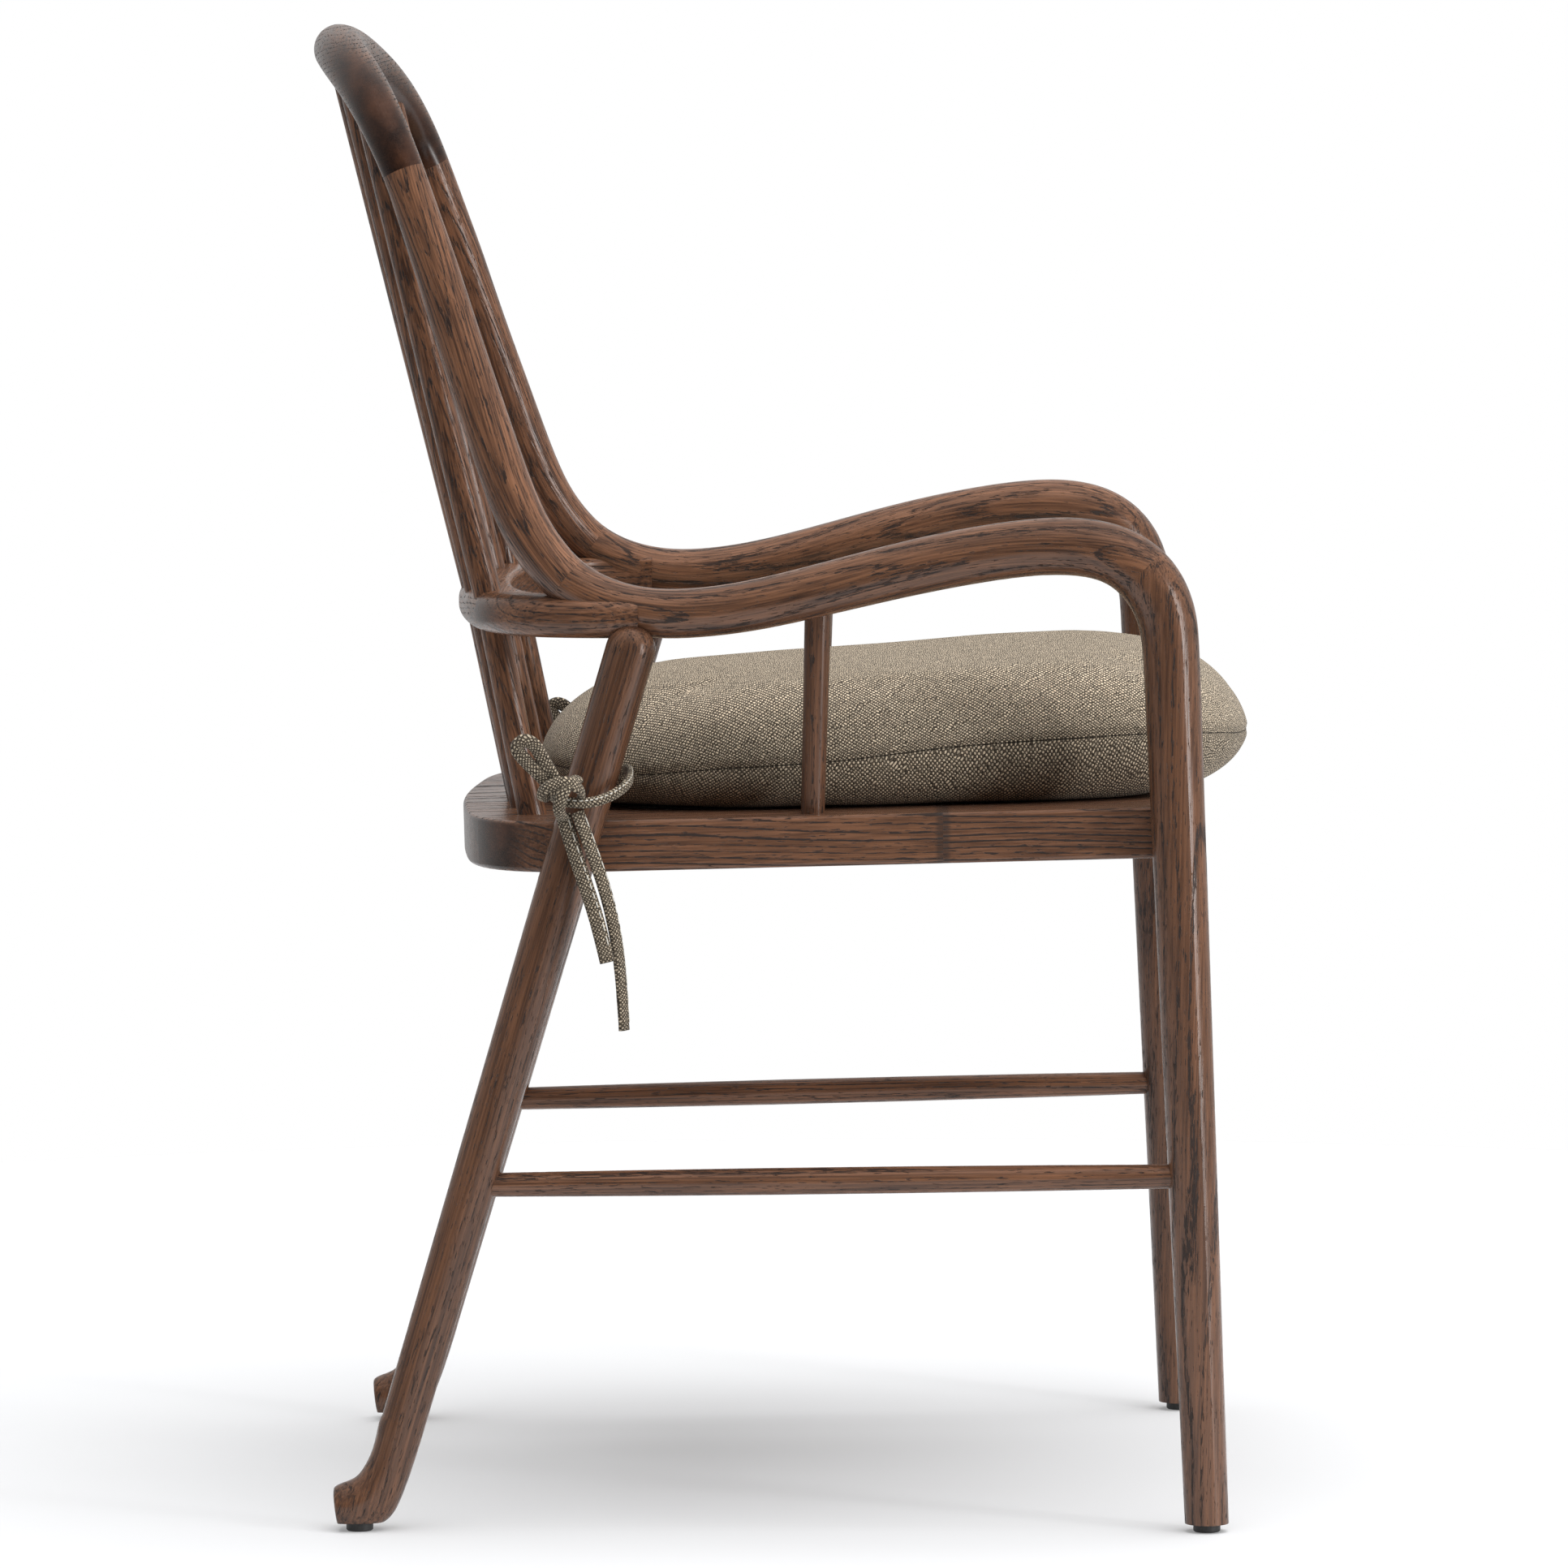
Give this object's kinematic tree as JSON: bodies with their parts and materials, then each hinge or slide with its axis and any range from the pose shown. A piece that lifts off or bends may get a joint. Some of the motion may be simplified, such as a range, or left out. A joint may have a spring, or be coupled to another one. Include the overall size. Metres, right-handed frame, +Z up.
{
  "type": "wooden armchair",
  "caption": "Wooden armchair with a hoop back of spindles, solid plank seat, round legs, side stretchers and a loose tied seat cushion.",
  "frame": {"origin": "on the floor, at the middle of the chair's width and depth", "axes": "+Z up; the sitter faces -Y; +X is the sitter's left hand"},
  "size_m": [0.583, 0.6222, 0.9775],
  "materials": {
    "wood": "dark red-brown stain, satin lacquer",
    "seat_wood": "dark red-brown stain, satin lacquer",
    "dowel": "bare hardwood pegs",
    "fabric": "taupe twill weave",
    "foam": "open-cell foam",
    "tie": "woven tape in the cushion's colour",
    "plastic": "moulded, matte"
  },
  "bodies": {
    "root": {"spindle_1": "wood", "spindle_2": "wood", "spindle_3": "wood", "spindle_4": "wood", "spindle_5": "wood", "spindle_6": "wood", "spindle_7": "wood", "upright_right": "wood", "arm_right": "wood", "front_leg_right": "wood", "back_leg_right": "wood", "arm_post_right": "wood", "side_stretcher_right": "wood", "back_bow_end_right": "wood", "glide_front_right": "plastic", "glide_rear_right": "plastic", "tie_knot_right": "tie", "tie_band_right": "tie", "tie_loop_right": "tie", "tie_tail_long_right": "tie", "tie_tail_short_right": "tie", "upright_left": "wood", "arm_left": "wood", "front_leg_left": "wood", "back_leg_left": "wood", "arm_post_left": "wood", "side_stretcher_left": "wood", "back_bow_end_left": "wood", "glide_front_left": "plastic", "glide_rear_left": "plastic", "tie_knot_left": "tie", "tie_band_left": "tie", "tie_loop_left": "tie", "tie_tail_long_left": "tie", "tie_tail_short_left": "tie", "crest_rail": "wood", "back_bow_center": "wood", "seat_board_1_front": "seat_wood", "seat_board_1_rear": "seat_wood", "seat_board_2": "seat_wood", "seat_board_3": "seat_wood", "seat_board_4": "seat_wood", "seat_board_5": "seat_wood", "seat_board_6": "seat_wood", "seat_board_7_front": "seat_wood", "seat_board_7_rear": "seat_wood", "hoop_dowels": "dowel", "seat_dowels": "dowel", "back_dowels": "dowel", "cushion_cover": "fabric", "cushion_foam": "foam"}
  },
  "joints": []
}
